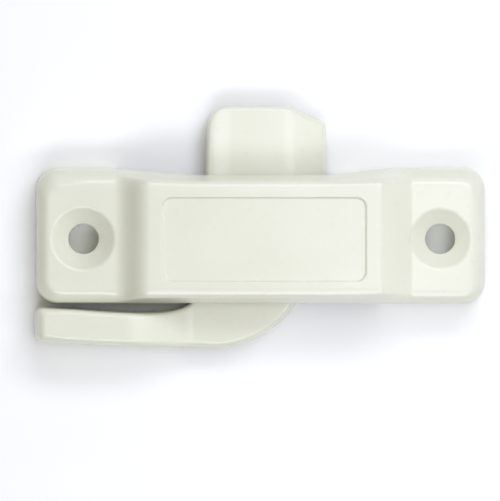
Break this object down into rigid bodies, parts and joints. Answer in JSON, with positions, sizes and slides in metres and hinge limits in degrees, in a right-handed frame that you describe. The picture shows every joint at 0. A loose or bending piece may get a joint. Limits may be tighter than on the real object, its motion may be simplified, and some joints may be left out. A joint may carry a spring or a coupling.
{
  "type": "window sash lock",
  "caption": "Low cast window sash lock: a bevelled housing with countersunk end pads, a side finger lever, and a broad tongue that sweeps out of the opposite side.",
  "frame": {"origin": "midway between the two screw holes, on the mounting face; the lever's pivot axis passes through it", "axes": "+Z out of the mounting face towards the user, +X along the housing, +Y the way the locking tongue points when locked"},
  "size_m": [0.0766, 0.0413, 0.0124],
  "materials": {
    "ivory_enamel": "semi-gloss",
    "lever_enamel": "semi-gloss",
    "white_nylon": "satin",
    "spring_steel": "satin",
    "zinc_plated_steel": "satin"
  },
  "bodies": {
    "base": {"housing": "ivory_enamel", "base_plate": "zinc_plated_steel", "pivot_screw": "zinc_plated_steel", "thrust_washer": "white_nylon", "wave_washer": "spring_steel", "detent_spring": "spring_steel"},
    "lever": {"cam_lever": "lever_enamel", "pivot_bushing": "white_nylon"}
  },
  "joints": [
    {"name": "lever_turn", "type": "hinge", "parent": "base", "child": "lever", "pos_m": [0, 0, 0], "axis": [0, 0, 1], "range_deg": [0, 90], "deforming": ["detent_spring"]}
  ]
}
